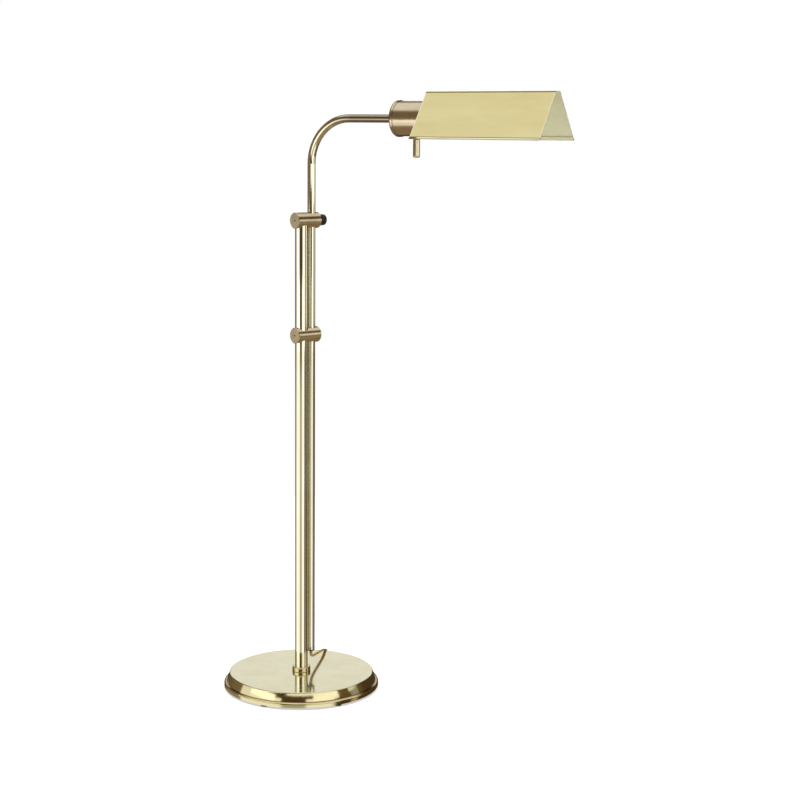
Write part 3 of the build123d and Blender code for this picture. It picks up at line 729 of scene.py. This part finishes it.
# White cards round the lamp: from and to, in the same degrees, then bottom and top in metres,
# and brightness
CARD_DISTANCE = 1.6
CARDS = [
    (-155, -136, 0.0, 0.10, 1.15),
    (-155, -136, 0.10, 0.56, 1.0),
    (-136, -94, 0.0, 0.36, 1.15),
    (-136, -94, 0.36, 0.70, 1.7),
    (-94, -84, 0.0, 0.54, 1.15),
    (-165, -138, 0.56, 0.70, 0.75),
    (-47, -36, 0.0, 0.54, 1.15),
    (-36, -4, 0.0, 0.36, 1.15),
    (-36, 4, 0.36, 0.73, 1.35),
    (-36, 38, 0.73, 0.96, 1.25),
    (-78, -36, 0.77, 0.96, 1.25),
    (25, 40, 0.0, 0.42, 0.35),
    (23, 42, 0.42, 1.15, 0.95),
]


def build_stage():
    """A white floor that the brass doesn't reflect."""
    bpy.ops.mesh.primitive_circle_add(vertices=128, radius=1.5, fill_type="NGON")
    floor = bpy.context.object
    floor.name = "floor"
    shader = Shader("white_paper", (0.9, 0.9, 0.9), roughness=0.9)
    shader.set(Emission_Color=(1.0, 1.0, 1.0, 1.0), Emission_Strength=0.5)
    floor.data.materials.append(shader.material)
    floor.visible_glossy = False


def build_hems():
    """A rolled bead on the outside of each lower edge of the shade."""
    low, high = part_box("shade")
    lean = Vector((0.0, -SHADE_SPREAD, SHADE_FALL)).normalized()
    # Up the side and out from it
    section = [
        (0.0, -0.0003), (0.0, 0.0003), (0.0005, 0.0006), (HEM_WIDTH - 0.0005, 0.0006), (HEM_WIDTH, 0.0003),
        (HEM_WIDTH, -0.0003),
    ]
    # The bead's brass is polished and also painted paler than the shade: a painted highlight along each
    # lower edge
    polished = spun_brass("hem_highlight_brass", arm_axis, ARM_WAY, EDGE_HIGHLIGHT, SATIN_BRIGHT, 0.12, 0.03)
    stations = 12
    for name, side in (("shade_hem_right", -1.0), ("shade_hem_left", 1.0)):
        edge = high[1] if side > 0 else low[1]
        up = Vector((0.0, lean.y * side, lean.z))
        out = Vector((0.0, lean.z * side, -lean.y))
        vertices = []
        for step in range(stations + 1):
            x = low[0] + (high[0] - low[0]) * step / stations
            for along, proud in section:
                vertices.append(Vector((x, edge, low[2])) + up * along + out * proud)
        size = len(section)
        faces = []
        for step in range(stations):
            for index in range(size):
                first = step * size + index
                second = step * size + (index + 1) % size
                faces.append((first, second, second + size, first + size))
        faces.append(tuple(range(size - 1, -1, -1)))
        faces.append(tuple(range(stations * size, stations * size + size)))
        hem = mesh_piece(name, vertices, faces)
        hem.data.materials.append(polished)
        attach(hem, "head")


def build_cards():
    """White reflector cards that stand round the lamp, out of the camera's sight."""
    for count, (first, last, low, high, level) in enumerate(CARDS):
        vertices = []
        steps = 24
        for step in range(steps + 1):
            turn = math.radians(first + (last - first) * step / steps)
            spot = (CARD_DISTANCE * math.cos(turn), CARD_DISTANCE * math.sin(turn))
            vertices += [(*spot, low), (*spot, high)]
        faces = [(2 * step, 2 * step + 2, 2 * step + 3, 2 * step + 1) for step in range(steps)]
        card = mesh_piece(f"card_{count}", vertices, faces)
        shader = Shader(f"card_{count}", (0.0, 0.0, 0.0), roughness=1.0)
        shader.set(Emission_Color=(1.0, 0.985, 0.94, 1.0), Emission_Strength=level)
        card.data.materials.append(shader.material)
        card.visible_camera = False
        card.visible_shadow = False
        card.visible_diffuse = False


def ramp(tree, value, stops):
    """A colour ramp with its stops at the given places from 0 to 1."""
    node = tree.nodes.new("ShaderNodeValToRGB")
    elements = node.color_ramp.elements
    elements[0].position = 0.0
    elements[1].position = 1.0
    elements[0].color = stops[0][1]
    elements[1].color = stops[-1][1]
    for position, color in stops[1:-1]:
        elements.new(position).color = color
    tree.links.new(value, node.inputs[0])
    return node.outputs["Color"]


def build_world():
    """White for the camera; for the brass, soft boxes in a room with dark gaps between them."""
    world = bpy.data.worlds.new("studio")
    bpy.context.scene.world = world
    world.use_nodes = True
    tree = world.node_tree
    tree.nodes.clear()
    add = tree.nodes.new
    link = tree.links.new
    split = add("ShaderNodeSeparateXYZ")
    link(add("ShaderNodeTexCoord").outputs["Generated"], split.inputs[0])
    turn = add("ShaderNodeMath")
    turn.operation = "ARCTAN2"
    link(split.outputs["Y"], turn.inputs[0])
    link(split.outputs["X"], turn.inputs[1])
    share = add("ShaderNodeMapRange")
    link(turn.outputs[0], share.inputs["Value"])
    share.inputs["From Min"].default_value = -math.pi
    share.inputs["From Max"].default_value = math.pi
    rise = add("ShaderNodeMapRange")
    link(split.outputs["Z"], rise.inputs["Value"])
    rise.inputs["From Min"].default_value = -1.0

    def around(stops):
        """Colours by compass direction."""
        places = [((degrees + 180) / 360, color) for degrees, color in stops]
        return ramp(tree, share.outputs[0], places)

    def above(low, high):
        """0 under one elevation and 1 over another, in degrees."""
        places = [(math.sin(math.radians(degrees)) + 1) / 2 for degrees in (low, high)]
        levels = [(0.0, 0.0), (places[0], 0.0), (places[1], 1.0), (1.0, 1.0)]
        stops = [(place, (level, level, level, 1.0)) for place, level in levels]
        return ramp(tree, rise.outputs[0], stops)

    def mix(amount, first, second):
        node = add("ShaderNodeMix")
        node.data_type = "RGBA"
        link(amount, node.inputs["Factor"])
        for socket, value in ((node.inputs["A"], first), (node.inputs["B"], second)):
            if isinstance(value, tuple):
                socket.default_value = value
            else:
                link(value, socket)
        return node.outputs["Result"]

    room = TAN
    for low, high, colors in ROOM:
        room = mix(above(low, high), room, around(colors) if isinstance(colors, list) else colors)
    seen = add("ShaderNodeBackground")
    seen.inputs["Color"].default_value = (1.0, 1.0, 1.0, 1.0)
    light = add("ShaderNodeBackground")
    link(room, light.inputs["Color"])
    path = add("ShaderNodeLightPath")
    choose = add("ShaderNodeMixShader")
    link(path.outputs["Is Camera Ray"], choose.inputs[0])
    link(light.outputs[0], choose.inputs[1])
    link(seen.outputs[0], choose.inputs[2])
    link(choose.outputs[0], add("ShaderNodeOutputWorld").inputs["Surface"])


def soft_box(name, place, target, width, height, power):
    """A lamp that lights matt surfaces; the brass reflects the room instead."""
    lamp = bpy.data.lights.new(name, "AREA")
    lamp.shape = "RECTANGLE"
    lamp.size = width
    lamp.size_y = height
    lamp.energy = power
    box = bpy.data.objects.new(name, lamp)
    bpy.context.scene.collection.objects.link(box)
    box.location = place
    box.rotation_euler = (Vector(target) - Vector(place)).to_track_quat("-Z", "Y").to_euler()
    box.visible_glossy = False


def build_camera():
    """The eye stands in front and to the right, level with the arm and looking slightly down."""
    heading = math.radians(122.77)
    pitch = math.radians(8.82)
    roll = math.radians(0.54)
    aside = 0.1589
    back = 2.7504
    height = 0.9064
    across = Vector((math.sin(heading), -math.cos(heading), 0.0))
    forward = Vector((math.cos(heading), math.sin(heading), 0.0))
    camera = bpy.data.objects.new("camera", bpy.data.cameras.new("camera"))
    bpy.context.scene.collection.objects.link(camera)
    camera.data.lens = 77.6
    camera.data.sensor_width = 36.0
    place = across * aside - forward * back + UP * height
    look = forward * math.cos(pitch) - UP * math.sin(pitch)
    upward = across.cross(look)
    turn = Matrix((across, upward, -look)).transposed() @ Matrix.Rotation(roll, 3, "Z")
    camera.matrix_world = Matrix.Translation(place) @ turn.to_4x4()
    bpy.context.scene.camera = camera


# ---------------------------------------------------------------- the object

build_camera()
build_hems()
build_stage()
build_cards()
build_world()
soft_box("top_box", (0.1, -0.5, 2.6), (0.1, 0.0, 0.5), 1.6, 1.2, 30)
build_cord()
finish_nodes()

bpy.context.scene.view_settings.view_transform = "Standard"
